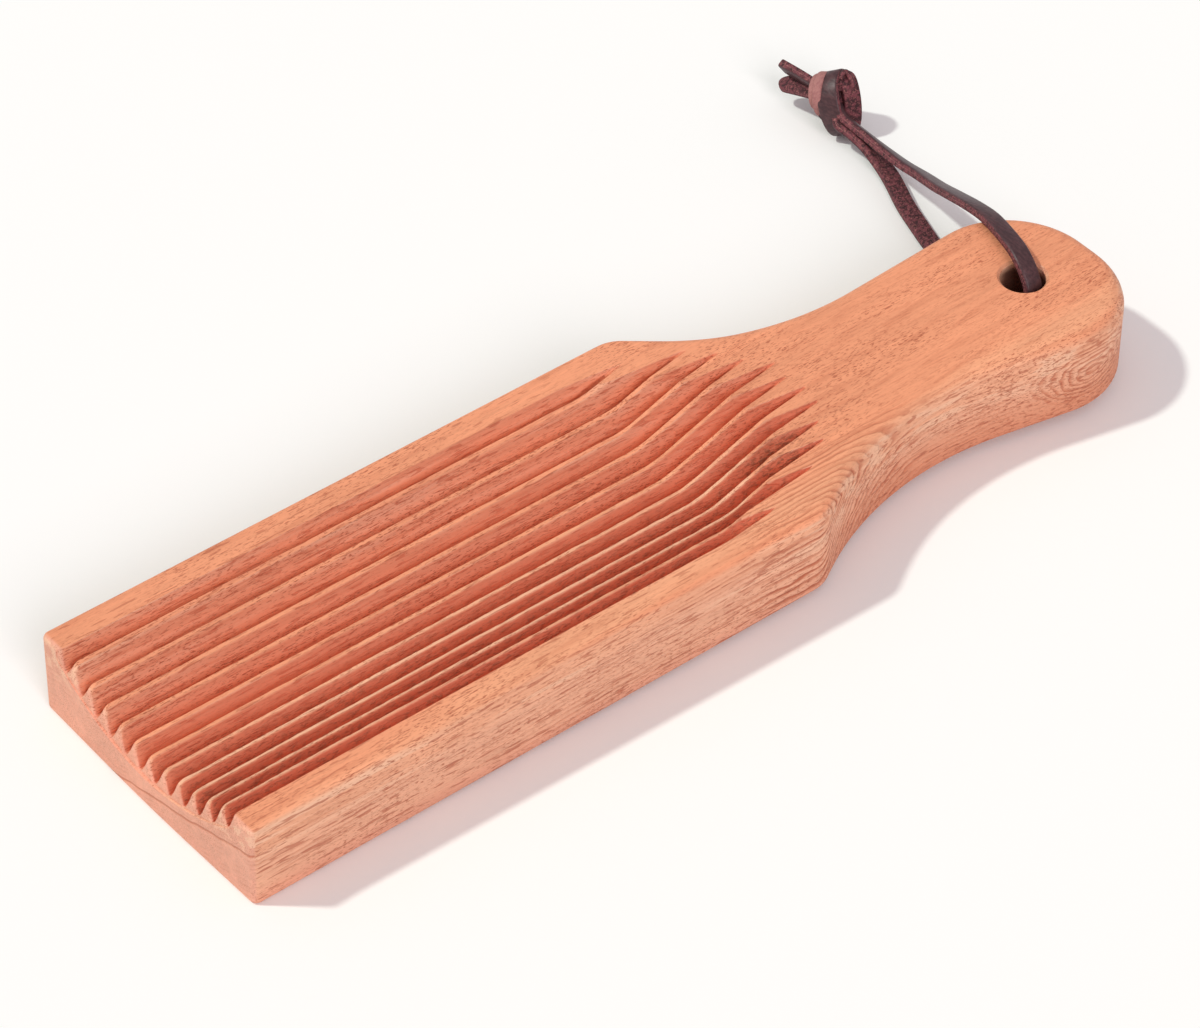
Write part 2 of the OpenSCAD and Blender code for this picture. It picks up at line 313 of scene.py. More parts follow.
def blank(b):
    """The sawn blank: its outline extruded ring by ring through its softened edges"""
    bm = bmesh.new()
    place = bm.verts.layers.int.new("place")
    face = outline_face(b, bm)
    if face.normal.z < 0:
        face.normal_flip()
    for i, v in enumerate(face.verts):
        v[place] = i
    points = [v.co.copy() for v in face.verts]
    away = [outward(points, i) for i in range(len(points))]
    upper = [top_edge_radius(b, p.x, p.y) for p in points]
    rings = [("base", k / BASE_STEPS) for k in range(BASE_STEPS + 1)]
    rings += [("top", k / TOP_STEPS) for k in range(TOP_STEPS + 1)]
    for ring, (edge, share) in enumerate(rings):
        if ring:
            face = extruded(bm, face)
        sine, cosine = math.sin(share * math.pi / 2), math.cos(share * math.pi / 2)
        for v in face.verts:
            i = v[place]
            if edge == "base":
                inset, z = b.base_edge_r * (1 - sine), b.base_edge_r * (1 - cosine)
            else:
                inset, z = upper[i] * (1 - cosine), b.board_t - upper[i] * (1 - sine)
            v.co = points[i] - away[i] * inset + Vector((0, 0, z))
    return mesh_object("blank", bm)


def scoop_height(b, y):
    return b.floor_t + b.scoop_r - math.sqrt(b.scoop_r**2 - y * y)


def tip_shift(b, y):
    """How much farther along the cutter left the wood in each groove"""
    at = (b.grooves - 1) / 2 - y / b.groove_pitch
    at = min(len(TIP_SHIFTS) - 1.001, max(0.0, at))
    i = int(at)
    return (TIP_SHIFTS[i] * (i + 1 - at) + TIP_SHIFTS[i + 1] * (at - i)) * MM


def ramp_rise(b, x, y):
    bend = b.ramp_bend_r * math.sin(b.ramp_angle)
    past = x - tip_shift(b, y) - (b.board_l - b.grip_l - b.ramp_before)
    if past <= 0:
        return 0.0
    if past < bend:
        return b.ramp_bend_r - math.sqrt(b.ramp_bend_r**2 - past**2)
    return b.ramp_bend_r * (1 - math.cos(b.ramp_angle)) + (past - bend) * math.tan(b.ramp_angle)


def ridge_height(b, y):
    """Height above the groove bottoms: straight flanks between narrow bottoms and tops"""
    half = b.grooves * b.groove_pitch / 2
    outer = half - b.groove_pitch / 2
    if abs(y) > outer:
        beside = abs(y) - outer
    else:
        beside = abs((y + half) % b.groove_pitch - b.groove_pitch / 2)
    foot, top = b.groove_floor_w / 2, (b.groove_pitch - b.ridge_top_w) / 2
    return b.ridge_h * min(1.0, max(0.0, (beside - foot) / (top - foot)))


def ridge_share(b, x):
    """The ridges' ends rise steeply from the nose and turn over a rounded corner"""
    fullness = 2.6
    left = 1 - min(1.0, max(0.0, x / b.ridge_nose))
    return (1 - left**fullness) ** (1 / fullness)


def scoop_surface(b, x, y):
    return scoop_height(b, y) + ridge_height(b, y) * ridge_share(b, x) + ramp_rise(b, x, y)


def rows_along(b):
    """Where the scoop's cross sections stand: close at the nose and on the ramp"""
    before_nose, over_top = 5 * MM, 3 * MM
    foot = b.board_l - b.grip_l - b.ramp_before
    bend = b.ramp_bend_r * math.sin(b.ramp_angle)
    top = foot + bend + (b.board_t - b.floor_t + over_top) / math.tan(b.ramp_angle)
    rows = [-before_nose]
    rows += [b.ridge_nose * (k / NOSE_ROWS) ** 2 for k in range(NOSE_ROWS + 1)]
    steps = round((top - b.ridge_nose) / ROW_STEP)
    rows += [b.ridge_nose + (top - b.ridge_nose) * k / steps for k in range(1, steps + 1)]
    return rows


def columns_across(b):
    """Where the scoop's long lines run: on each groove's bottom, its flanks and the crests"""
    half = b.grooves * b.groove_pitch / 2
    foot, top = b.groove_floor_w / 2, (b.groove_pitch - b.ridge_top_w) / 2
    steps = (0.0, 0.03, 0.15, 0.35, 0.6, 0.85, 0.96, 1.0)
    up = [foot + (top - foot) * share for share in steps]
    columns = [-half]
    for i in range(b.grooves):
        root = (i + 0.5) * b.groove_pitch - half
        columns += [root - side for side in reversed(up)] + [root + side for side in up]
    return columns + [half]


def worn(b, x, y):
    """Small unevenness that the cutter leaves: wavering crests and torn flanks"""
    wave_l, wave_w = 9 * MM, 1.3 * MM
    tear_l, tear_w, tear_layer = 1.8 * MM, 0.7 * MM, 7.0
    wave_h, tear_h, near_run = 0.10 * MM, 0.13 * MM, 14 * MM
    along = noise.noise(Vector((x / wave_l, y / wave_w, 0.0)))
    torn = noise.noise(Vector((x / tear_l, y / tear_w, tear_layer)))
    rough = 0.35 + 0.65 * smooth_step(0.5 - y / near_run)
    return wave_h * along + tear_h * rough * torn


def scoop_cutter(b):
    """The ridged bottom of the cut as a grid, its rim raised well above the board"""
    rim_room = 5 * MM
    rows, columns = rows_along(b), columns_across(b)
    bm = bmesh.new()
    bmesh.ops.create_grid(bm, x_segments=len(rows) - 1, y_segments=len(columns) - 1, size=1)
    for v in bm.verts:
        i = round((v.co.x + 1) / 2 * (len(rows) - 1))
        j = round((v.co.y + 1) / 2 * (len(columns) - 1))
        x, y = rows[i], columns[j]
        z = scoop_surface(b, x, y)
        z += worn(b, x, y) * min(1.0, ridge_height(b, y) / (0.5 * b.ridge_h))
        v.co = (x, y, z)
    lid = max(v.co.z for v in bm.verts) + rim_room
    rim = [e for e in bm.edges if e.is_boundary]
    raised = bmesh.ops.extrude_edge_only(bm, edges=rim)
    for g in raised["geom"]:
        if isinstance(g, bmesh.types.BMVert):
            g.co.z = lid
    top = [e for e in bm.edges if e.is_boundary]
    bmesh.ops.contextual_create(bm, geom=top)
    return mesh_object("scoop cutter", bm)


def hole_cutter(b):
    """The hole's shape with its eased rims, spun round its axis"""
    r, ease, over = b.hole_d / 2, b.hole_ease, 2 * MM
    profile = [
        (0, -over), (r + ease + over, -over), (r, ease), (r, b.board_t - ease),
        (r + ease + over, b.board_t + over), (0, b.board_t + over),
    ]
    bm = bmesh.new()
    centre = Vector((b.board_l - b.hole_back, b.grip_shift, 0))
    verts = [bm.verts.new(centre + Vector((x, 0, z))) for x, z in profile]
    edges = [bm.edges.new(pair) for pair in zip(verts, verts[1:])]
    bmesh.ops.spin(
        bm, geom=verts + edges, cent=centre, axis=(0, 0, 1),
        angle=2 * math.pi, steps=HOLE_STEPS, use_merge=True,
    )
    return mesh_object("hole cutter", bm)


def cut(piece, cutter):
    away = piece.modifiers.new(cutter.name, "BOOLEAN")
    away.operation = "DIFFERENCE"
    away.solver = "MANIFOLD"
    away.object = cutter
    cutter.hide_render = True


def applied(piece, name):
    """A new object with the piece's modifiers in its mesh"""
    graph = bpy.context.evaluated_depsgraph_get()
    mesh = bpy.data.meshes.new_from_object(piece.evaluated_get(graph), depsgraph=graph)
    mesh.name = name
    return add_object(name, mesh)


def remove(*objects):
    for gone in objects:
        bpy.data.objects.remove(gone, do_unlink=True)


def mark_grooves(b, mesh):
    """Writes how deep in a groove each vertex lies, from 0 on the crests and faces to 1"""
    side_room, surface_room, top_room = 0.1 * MM, 0.5 * MM, 0.02 * MM
    top_fade, nose_fade, nose_clear = 1.2 * MM, 1.5 * MM, 0.3 * MM
    marks = mesh.attributes.new("groove_depth", "FLOAT", "POINT")
    half = b.grooves * b.groove_pitch / 2
    for v, mark in zip(mesh.vertices, marks.data):
        x, y, z = v.co
        cut_here = abs(z - scoop_surface(b, x, y)) < surface_room
        if cut_here and abs(y) < half + side_room and z < b.board_t - top_room:
            depth = 1 - ridge_height(b, y) / b.ridge_h
            from_top = smooth_step((b.board_t - z) / top_fade)
            mark.value = depth * from_top * smooth_step((x - nose_clear) / nose_fade)


def make_board(b, lace_t):
    """The blank cut by the scoop and the hole, laid as the photograph shows it"""
    crease = math.radians(28)
    wood, scoop, hole = blank(b), scoop_cutter(b), hole_cutter(b)
    cut(wood, scoop)
    cut(wood, hole)
    bpy.context.view_layer.update()
    board = applied(wood, "beech_board")
    remove(wood, scoop, hole)
    mark_grooves(b, board.data)
    board.data.transform(lying_matrix(b, lace_t))
    board.data.shade_smooth()
    board.data.set_sharp_from_angle(angle=crease)
    even = board.modifiers.new("even shading", "WEIGHTED_NORMAL")
    even.keep_sharp = True
    return board


# The lace: points of its routes in millimetres, as x, y, z and roll in degrees

LOOP = [
    (122.8, 77.4, 6.6, -45),
    (121.6, 75, 5.1, -45),
    (122.0, 71, 4.6, -45),
    (122.6, 67, 3.6, -36),
    (122.8, 62.5, 2.2, -18),
    (121.6, 57, 1.3, -4),
    (118, 48.5, 1.1, 0),
    (115.6, 41.5, 1.1, 0),
    (113.4, 34.5, 1.1, 0),
    (110, 22, 1.1, 0),
    (106.6, 10, 1.1, 0),
    (104.4, 3, 1.1, 0),
    (103.8, 0.4, 1.1, 0),
    (103.6, -2.1, 1.7, 0),
    (103.6, -4.3, 3.2, 0),
    (103.6, -6, 5.5, 0),
    (103.6, -6.9, 8.5, 0),
    (103.7, -7.1, 13, 0),
    (103.8, -7.1, 17.5, 0),
    (103.9, -6.3, 20.4, 0),
    (104.2, -4.5, 22.8, 0),
    (104.7, -2.2, 24.3, 0),
    (105.7, 1, 25, 4),
    (107.3, 6.5, 24.9, 8),
    (109.4, 13.5, 23.9, 14),
    (111.3, 21, 21.6, 20),
    (114.4, 30, 17.3, 25),
    (117.5, 38, 13.1, 28),
    (120.6, 46.5, 9.3, 31),
    (121.9, 54, 7.2, 34),
    (122.6, 60.5, 6.4, 38),
    (122.9, 66.5, 6.3, 44),
    (122.9, 71, 6.5, 45),
    (122.9, 75, 6.9, 45),
    (123.5, 77.8, 8.3, 45),
]
TAIL_UPPER = [
    (122.8, 84, 10.2, 60), (122.6, 87.5, 10.2, 60), (122.5, 91, 10, 58), (122.4, 95.5, 9.6, 55),
]
TAIL_LOWER = [
    (123.2, 84, 8.6, -12), (123, 87.5, 7.5, -14), (122.7, 91, 6.4, -17), (122.2, 95.9, 4.8, -20),
]
LACE_AXIS = Vector((0, 1, 0))
UPPER_END = Vector((0, 1, -0.1)).normalized()
LOWER_END = Vector((-0.1, 1, -0.3)).normalized()

# The knot's wraps in millimetres from its heart: across, up and towards the front of its open side
KNOT_HEART = Vector((124.8, 80.4, 7.3)) * MM
KNOT_ACROSS = Vector((0.776, -0.631, 0.019))
KNOT_UP = Vector((0.412, 0.529, 0.742))
CORE_CENTRE, CORE_SIZE = Vector((-0.9, 0.5, -0.4)), Vector((4.0, 5.3, 3.6))
WRAP = (Vector((0.7, 0.0, 0.1)), Vector((-0.9, 6.5, 0)), Vector((-2.5, 0.2, 4.0)))
COLLAR = (Vector((-2.6, 2.0, -0.3)), Vector((0.3, 4.3, 0)), Vector((-1.6, 0, 3.4)))
SMALL_COLLAR = (Vector((-3.7, 2.5, -0.5)), Vector((0.3, 3.3, 0)), Vector((-1.5, 0, 2.8)))
FLAP = [
    (1.8, -5.4, -2.0), (3.3, -5.6, -0.9), (3.8, -3.9, 0.6), (3.8, -1.4, 2.0), (3.5, 1.2, 2.7),
    (3.0, 3.6, 2.8), (2.4, 5.4, 2.3), (1.7, 6.3, 1.0), (1.2, 6.0, -0.4), (0.8, 4.4, -1.6),
]
FLAP_WIDE = Vector((0.93, 0.1, -0.35))
CURL = [
    (0.9, 2.6, 2.6), (0.9, 4.4, 3.1), (1.2, 5.9, 3.3), (2.0, 6.6, 3.2), (2.8, 6.0, 3.0),
    (3.3, 4.8, 2.9), (3.7, 3.4, 2.6),
]
CURL_WIDE = Vector((0.1, 0, 1))
# Widths and thicknesses of the wraps as shares of the strip's
WRAP_SHARE, COLLAR_SHARE, SMALL_COLLAR_SHARE = (1.25, 0.8), (0.55, 0.8), (0.45, 0.8)
FLAP_SHARE, CURL_SHARE = (1.0, 0.7), (0.5, 0.6)
FLAP_TIP = 7 * MM


def curve_point(route, i, t):
    """A point of the smooth line through a route's points, with its roll"""
    last = len(route) - 1
    a, b, c, d = (route[min(last, max(0, i + k))] for k in (-1, 0, 1, 2))
    mixed = []
    for p, q, r, s in zip(a, b, c, d):
        mixed.append(
            0.5 * (2 * q + (r - p) * t + (2 * p - 5 * q + 4 * r - s) * t * t
                   + (3 * q - p - 3 * r + s) * t**3)
        )
    return Vector(mixed[:3]) * MM, math.radians(mixed[3])


def smooth_route(route, steps=4):
    line = [curve_point(route, i, k / steps) for i in range(len(route) - 1) for k in range(steps)]
    return line + [curve_point(route, len(route) - 2, 1.0)]


def strip_frame(at, direction, roll):
    """Axes of the strip's section: its width lies flat at roll 0"""
    flat = (Vector((1, 0, 0)) - direction * direction.x).normalized()
    up = direction.cross(flat)
    wide = flat * math.cos(roll) + up * math.sin(roll)
    thick = up * math.cos(roll) - flat * math.sin(roll)
    return Matrix((
        (wide.x, thick.x, direction.x, at.x),
        (wide.y, thick.y, direction.y, at.y),
        (wide.z, thick.z, direction.z, at.z),
        (0, 0, 0, 1),
    ))


def strip_section(bm, w, t):
    """One section of the strip: a rectangle with its corners rounded off"""
    made = bmesh.ops.create_grid(bm, x_segments=1, y_segments=1, size=0.5)
    bmesh.ops.scale(bm, verts=made["verts"], vec=(w, t, 1))
    bmesh.ops.bevel(
        bm, geom=made["verts"], offset=t / 4, offset_type="OFFSET", segments=2,
        profile=0.5, affect="VERTICES", material=-1,
    )
    return bm.faces[:][0]


def swept(name, stations, w, t, round_tip=0.0, grain=1):
    """The strip's section extruded from station to station; the far tip may be rounded

    grain is 1 where the smooth side faces along the stations' y, -1 opposite, 0 for cut edges."""
    narrowest, crease = 0.25, math.radians(50)
    bm = bmesh.new()
    side = bm.verts.layers.float.new("leather_side")
    face = strip_section(bm, w, t)
    section = [v.co.copy() for v in face.verts]
    left = sum(
        (p.translation - q.translation).length for p, q in zip(stations, stations[1:])
    )
    for i, place in enumerate(stations):
        if i:
            left -= (place.translation - stations[i - 1].translation).length
            face = extruded(bm, face)
        narrow = 1.0
        if round_tip and left < round_tip:
            narrow = max(narrowest, math.sqrt(1 - (1 - max(0.0, left) / round_tip) ** 2))
        for v, flat in zip(face.verts, section):
            v.co = place @ Vector((flat.x * narrow, flat.y, 0))
            v[side] = grain * flat.y / t * 2
    piece = mesh_object(name, bm)
    piece.data.shade_smooth()
    piece.data.set_sharp_from_angle(angle=crease)
    return piece


def strip(name, route, first, last, lace, steps=4, round_tip=0.0, grain=1):
    """The strip swept along a route that gives its roll"""
    line = smooth_route(route, steps)
    places = [p for p, _ in line]
    stations = []
    for i, (at, roll) in enumerate(line):
        if i == 0:
            direction = first
        elif i == len(line) - 1:
            direction = last
        else:
            direction = (places[i + 1] - places[i - 1]).normalized()
        stations.append(strip_frame(at, direction, roll))
    piece = swept(name, stations, lace.lace_w, lace.lace_t, round_tip, grain)
    return piece, [tuple(p) for p in places]


def knot_matrix():
    front = KNOT_ACROSS.cross(KNOT_UP)
    turn = Matrix((KNOT_ACROSS, KNOT_UP, front)).transposed()
    return Matrix.Translation(KNOT_HEART) @ turn.to_4x4() @ Matrix.Scale(MM, 4)


def facing(at, along, wide, outwards):
    """A station of a strip by its direction and width, its grain side turned outwards"""
    wide = (wide - along * along.dot(wide)).normalized()
    thick = along.cross(wide)
    if thick.dot(outwards) < 0:
        wide, thick = -wide, -thick
    return Matrix((
        (wide.x, thick.x, along.x, at.x),
        (wide.y, thick.y, along.y, at.y),
        (wide.z, thick.z, along.z, at.z),
        (0, 0, 0, 1),
    ))


def ring_stations(centre, tall, deep, steps=40, overlap=3):
    """Stations once round an oval, with the ends passing each other"""
    tuck = 0.12
    axis = tall.cross(deep).normalized()
    stations = []
    for k in range(steps + overlap + 1):
        a = -math.pi / 2 + 2 * math.pi * k / steps
        out = tall * math.cos(a) + deep * math.sin(a)
        along = (deep * math.cos(a) - tall * math.sin(a)).normalized()
        sink = 1 - tuck * smooth_step((k - steps + overlap) / (2 * overlap))
        stations.append(facing(centre + out * sink, along, axis, out))
    return stations


def fold_stations(route, wide):
    """Stations along a fold of the knot, whose width keeps to one direction"""
    line = [p / MM for p, _ in smooth_route([(*point, 0) for point in route], 5)]
    stations = []
    for i, at in enumerate(line):
        along = (line[min(i + 1, len(line) - 1)] - line[max(i - 1, 0)]).normalized()
        stations.append(facing(at, along, wide, at))
    return stations


def in_knot(stations):
    """Stations drawn in the knot's own millimetres, as places in the frame"""
    knot = knot_matrix()
    turn = knot.to_3x3().normalized().to_4x4()
    placed = []
    for station in stations:
        spot = Matrix.Translation(knot @ station.translation)
        placed.append(spot @ turn @ station.to_3x3().to_4x4())
    return placed


def knot_wrap(name, stations, share, lace, grain=1, round_tip=0.0):
    """A strip of the knot, with a share of the lace's width and thickness"""
    wide, thick = share
    return swept(
        name, in_knot(stations), wide * lace.lace_w, thick * lace.lace_t, round_tip, grain,
    )


def make_knot(lace):
    """The knot's core with the wrap, the collars, the flap and the curl that lie round it"""
    bm = bmesh.new()
    side = bm.verts.layers.float.new("leather_side")
    size = Matrix.Diagonal((*CORE_SIZE, 1))
    bmesh.ops.create_uvsphere(
        bm, u_segments=32, v_segments=20, radius=1,
        matrix=knot_matrix() @ Matrix.Translation(CORE_CENTRE) @ size,
    )
    for v in bm.verts:
        v[side] = -1
    core = mesh_object("lace_knot_core", bm)
    core.data.shade_smooth()
    return [
        core,
        knot_wrap("lace_knot_wrap", ring_stations(*WRAP), WRAP_SHARE, lace),
        knot_wrap("lace_knot_collar", ring_stations(*COLLAR), COLLAR_SHARE, lace, 0),
        knot_wrap(
            "lace_knot_small_collar", ring_stations(*SMALL_COLLAR), SMALL_COLLAR_SHARE, lace, 0
        ),
        knot_wrap("lace_knot_flap", fold_stations(FLAP, FLAP_WIDE), FLAP_SHARE, lace, -1, FLAP_TIP),
        knot_wrap("lace_knot_curl", fold_stations(CURL, CURL_WIDE), CURL_SHARE, lace),
    ]


# Materials


def new_material(name):
    material = bpy.data.materials.new(name)
    material.use_nodes = True
    nodes = material.node_tree.nodes
    nodes.clear()
    out = nodes.new("ShaderNodeOutputMaterial")
    shader = nodes.new("ShaderNodeBsdfPrincipled")
    material.node_tree.links.new(shader.outputs[0], out.inputs[0])
    return material, shader


class Tree:
    """Short words for adding nodes to a tree"""

    def __init__(self, tree):
        self.tree = tree

    def node(self, kind, inputs=None, **settings):
        made = self.tree.nodes.new("ShaderNode" + kind)
        for name, value in settings.items():
            setattr(made, name, value)
        for name, value in (inputs or {}).items():
            self.feed(made.inputs[name], value)
        return made

    def feed(self, into, value):
        if isinstance(value, bpy.types.NodeSocket):
            self.tree.links.new(value, into)
        elif isinstance(value, bpy.types.Node):
            self.tree.links.new(value.outputs[0], into)
        else:
            into.default_value = value

    def math(self, operation, a, b=0.5):
        return self.node("Math", {0: a, 1: b}, operation=operation).outputs[0]

    def times(self, *values):
        product = values[0]
        for value in values[1:]:
            product = self.math("MULTIPLY", product, value)
        return product

    def plus(self, *values):
        total = values[0]
        for value in values[1:]:
            total = self.math("ADD", total, value)
        return total

    def centred(self, value, size):
        """A 0 to 1 value as a swing about 0"""
        return self.math("MULTIPLY", self.math("SUBTRACT", value, 0.5), size)

    def opposite(self, value):
        return self.math("SUBTRACT", 1.0, value)

    def reach(self, vector, centre, size):
        """Distance from the centre, counted in the size along each axis"""
        away = self.node("VectorMath", {0: vector, 1: centre}, operation="SUBTRACT").outputs[0]
        away = self.node("VectorMath", {0: away, 1: size}, operation="DIVIDE").outputs[0]
        return self.node("VectorMath", {0: away}, operation="LENGTH").outputs["Value"]

    def mound(self, vector, centre, size):
        """1 at the centre, falling to 0 over the size along each axis"""
        far = self.reach(vector, centre, size)
        return self.math("EXPONENT", self.times(far, far, -1.0))

    def noise(self, vector, scale, detail=2.0, rough=0.5):
        return self.node(
            "TexNoise", {"Vector": vector, "Scale": scale, "Detail": detail, "Roughness": rough}
        ).outputs["Fac"]

    def stretch(self, vector, scale, location=(0, 0, 0)):
        return self.node(
            "Mapping", {"Vector": vector, "Scale": scale, "Location": location}
        ).outputs[0]

    def ramp(self, value, low, high):
        """A clean step from 0 at low to 1 at high"""
        return self.node(
            "MapRange", {"Value": value, "From Min": low, "From Max": high},
            interpolation_type="SMOOTHSTEP",
        ).outputs[0]

    def mix(self, share, a, b, blend="MIX"):
        made = self.tree.nodes.new("ShaderNodeMix")
        made.data_type, made.blend_type = "RGBA", blend
        self.feed(made.inputs[0], share)
        self.feed(made.inputs[6], a)
        self.feed(made.inputs[7], b)
        return made.outputs[2]


def rgba(colour_value):
    return (*colour_value, 1.0)


# The wood's ring lines per millimetre, its marked places in metres and its noises in cells per metre
LINES_PER_MM, FOLD_LINES_PER_MM, SWIRL_LINES_PER_MM = 0.8, 0.52, 0.9
SWIRL_CENTRE, SWIRL_SIZE = (0.103, -0.026, 0.0125), (0.0021, 0.0030, 0.0010)
TORN_CENTRE, TORN_REACH = (0.028, -0.0135, 0.0175), (0.0085, 0.0042, 0.004)
HOLE_AXIS = (0.1035, -0.004, 0.0)
LONG_WAVER, SHORT_WAVER, FINE_WAVER = (16, 45, 45), (70, 260, 260), (120, 420, 420)
FOLD_WAVER, PATCHES, CLOUDS, BUSY = (25, 60, 60), (55, 300, 300), (22, 70, 70), (30, 120, 120)
FIBRES, STREAKS, GRIT = (70, 2200, 2200), (18, 420, 420), (480, 1300, 1300)
PORES, FLECKS = (800, 4600, 4600), (190, 1700, 1700)
# The leather's noises, in cells per metre
SPECKS, FLUFF, RUBBED, CREASES = 2300.0, (1000,) * 3, (260,) * 3, (1400, 500, 1400)


def growth_layer(t, place, parts):
    """Millimetres through the growth layers, which lean and waver"""
    long_waver = t.centred(t.noise(t.stretch(place, LONG_WAVER), 1.0, 2.0), 3.4)
    short_waver = t.centred(t.noise(t.stretch(place, SHORT_WAVER), 1.0, 2.0), 0.9)
    lean = t.plus(
        t.times(parts["Z"], 1000.0), t.times(parts["Y"], 280.0), t.times(parts["X"], -30.0),
    )
    return t.plus(lean, long_waver, short_waver)


def ring_lines(t, layer, per_mm):
    """Late wood as thin lines that darken slowly and end sharply"""
    phase = t.math("FRACT", t.times(layer, per_mm))
    return t.times(t.ramp(phase, 0.35, 0.9), t.opposite(t.ramp(phase, 0.9, 1.0)))


def fold_mask(t, parts):
    """Where the folded layers show: on and round the near shoulder"""
    return t.times(
        t.ramp(parts["X"], -0.012, 0.016), t.ramp(parts["X"], 0.066, 0.050),
        t.ramp(parts["Y"], -0.016, -0.0215),
    )


def all_lines(t, place, parts, layer):
    """Ring lines of the whole board, of the folded layers by the shoulder and of the butt's swirl"""
    fade = t.ramp(t.noise(t.stretch(place, PATCHES, (3, 1, 2)), 1.0, 3.0), 0.40, 0.64)
    small = t.centred(t.noise(t.stretch(place, FINE_WAVER, (1, 1, 4)), 1.0, 3.0), 2.6)
    waver = t.centred(t.noise(t.stretch(place, FOLD_WAVER, (5, 1, 4)), 1.0, 2.0), 3.0)
    fold_layer = t.plus(t.times(parts["Z"], 900.0), t.times(parts["Y"], -1600.0), small, waver)
    fold = fold_mask(t, parts)
    far = t.reach(place, SWIRL_CENTRE, SWIRL_SIZE)
    swirl = t.times(t.ramp(far, 9.0, 6.0), t.ramp(parts["Y"], -0.019, -0.023))
    rest = t.times(t.opposite(fold), t.opposite(swirl))
    fold_strength = t.plus(0.8, t.times(fade, 0.7))
    return t.plus(
        t.times(ring_lines(t, layer, LINES_PER_MM), fade, rest, 0.6),
        t.times(ring_lines(t, fold_layer, FOLD_LINES_PER_MM), fold, fold_strength),
        t.times(ring_lines(t, t.plus(far, small), SWIRL_LINES_PER_MM), swirl, 1.1),
    )


def layer_colours(t, layer, f):
    """The plain colour of each growth layer, from the bottom of the board to its top"""
    base = t.mix(t.ramp(layer, 5.0, 9.0), rgba(f.tan_wood), rgba(f.beech))
    pale = t.times(t.ramp(layer, 11.4, 12.8), t.opposite(t.ramp(layer, 13.6, 15.2)))
    return t.mix(t.times(pale, 0.5), base, rgba(f.sapwood))


def facing_masks(t, parts, faces):
    """Where fibres are cut across, where the wood faces up, and where it faces sideways"""
    ends = t.ramp(t.math("ABSOLUTE", faces["X"]), 0.55, 0.9)
    nose = t.ramp(parts["X"], -0.1212, -0.1219)
    upward = t.ramp(faces["Z"], 0.5, 0.9)
    return t.math("MAXIMUM", ends, nose), upward, t.opposite(upward)


def pore_marks(t, place, parts, across, side_face):
    """Short pores everywhere, and longer flecks that are thickest on the sides and the nose half"""
    busy = t.ramp(t.noise(t.stretch(place, BUSY, (1, 4, 2)), 1.0, 2.0), 0.35, 0.65)
    short = t.noise(t.stretch(place, PORES), 1.0, 1.0)
    pores = t.times(t.ramp(short, 0.58, 0.66), t.plus(t.times(busy, 0.75), 0.25))
    long = t.noise(t.stretch(place, FLECKS, (6, 3, 9)), 1.0, 1.0)
    nose_half = t.ramp(parts["X"], 0.03, -0.02)
    more = t.math("MAXIMUM", side_face, t.math("MAXIMUM", t.times(nose_half, 0.8), 0.35))
    flecks = t.times(t.ramp(long, 0.61, 0.66), more, t.opposite(across))
    return pores, flecks


def torn_marks(t, place, parts, depth):
    """Torn fibres in the near grooves, the rough patch by their tips, and the relief of both"""
    grit = t.noise(t.stretch(place, GRIT, (2, 0, 5)), 1.0, 3.0, 0.7)
    near = t.ramp(parts["Y"], 0.006, -0.016)
    torn = t.times(t.ramp(grit, 0.5, 0.68), near, t.ramp(depth, 0.05, 0.3))
    patch = t.mound(place, TORN_CENTRE, TORN_REACH)
    shreds = t.times(t.ramp(patch, 0.1, 0.5), t.ramp(grit, 0.42, 0.6))
    return torn, shreds, t.plus(t.times(torn, 1.5), t.times(patch, grit, 6.0))


def side_colours(t, base, parts, side_face, streaks, f):
    """Pale streaks high on the sides, partly the wood's streaks and partly a painted highlight along
    the rounded top edge, and a darker tone low on the grip's sides
    """
    high = t.ramp(parts["Z"], 0.009, 0.016)
    # Wood streaks that also paint a highlight high on the sides, under the rounded top edge
    streaks_and_edge_highlight = t.times(side_face, high, t.ramp(streaks, 0.46, 0.6))
    base = t.mix(t.times(streaks_and_edge_highlight, 0.6), base, rgba(f.cream_and_highlight))
    on_grip, low = t.ramp(parts["X"], 0.01, 0.05), t.ramp(parts["Z"], 0.017, 0.003)
    return t.mix(t.times(side_face, on_grip, low, 0.6), base, rgba(f.low_grip))


def groove_colours(t, base, parts, depth, upward, f):
    """Painted shade and red bounce light in the grooves, painted lighter low down against the shade
    and stronger on the near half; a painted dark line of shade along their bottoms; painted
    highlights on the near half's crests
    """
    # A redder, darker tint of painted shade and bounce light, painted lighter low in the grooves
    shaded = t.mix(t.ramp(depth, 0.15, 0.7), rgba(f.groove), rgba(f.groove_low))
    nearer = t.ramp(parts["Y"], 0.03, -0.025)
    # The painted shade is stronger on the near half
    painted_shade = t.times(t.ramp(depth, 0.0, 0.12), t.plus(0.36, t.times(nearer, 0.54)))
    base = t.mix(painted_shade, base, shaded)
    # Painted highlights on the thin crests of the near half
    crest_highlight = t.times(
        t.ramp(depth, 0.05, 0.0), t.ramp(parts["Y"], 0.0, -0.010),
        t.ramp(parts["Y"], -0.0300, -0.0285), t.ramp(parts["Z"], 0.0196, 0.0188), upward,
    )
    base = t.mix(t.times(crest_highlight, 0.5), base, rgba(f.cream_and_highlight))
    # A painted dark line of shade along the groove bottoms
    return t.mix(t.times(t.ramp(depth, 0.86, 0.97), 0.75), base, rgba(f.late_wood_and_groove_shade))


def hole_mask(t, parts):
    """The wall of the hole below its rim, which is painted dark with shade"""
    flat = t.node("CombineXYZ", {0: parts["X"], 1: parts["Y"]})
    away = t.node("VectorMath", {0: flat, 1: HOLE_AXIS}, operation="DISTANCE").outputs["Value"]
    return t.times(t.ramp(away, 0.0053, 0.0050), t.ramp(parts["Z"], 0.0215, 0.0195))


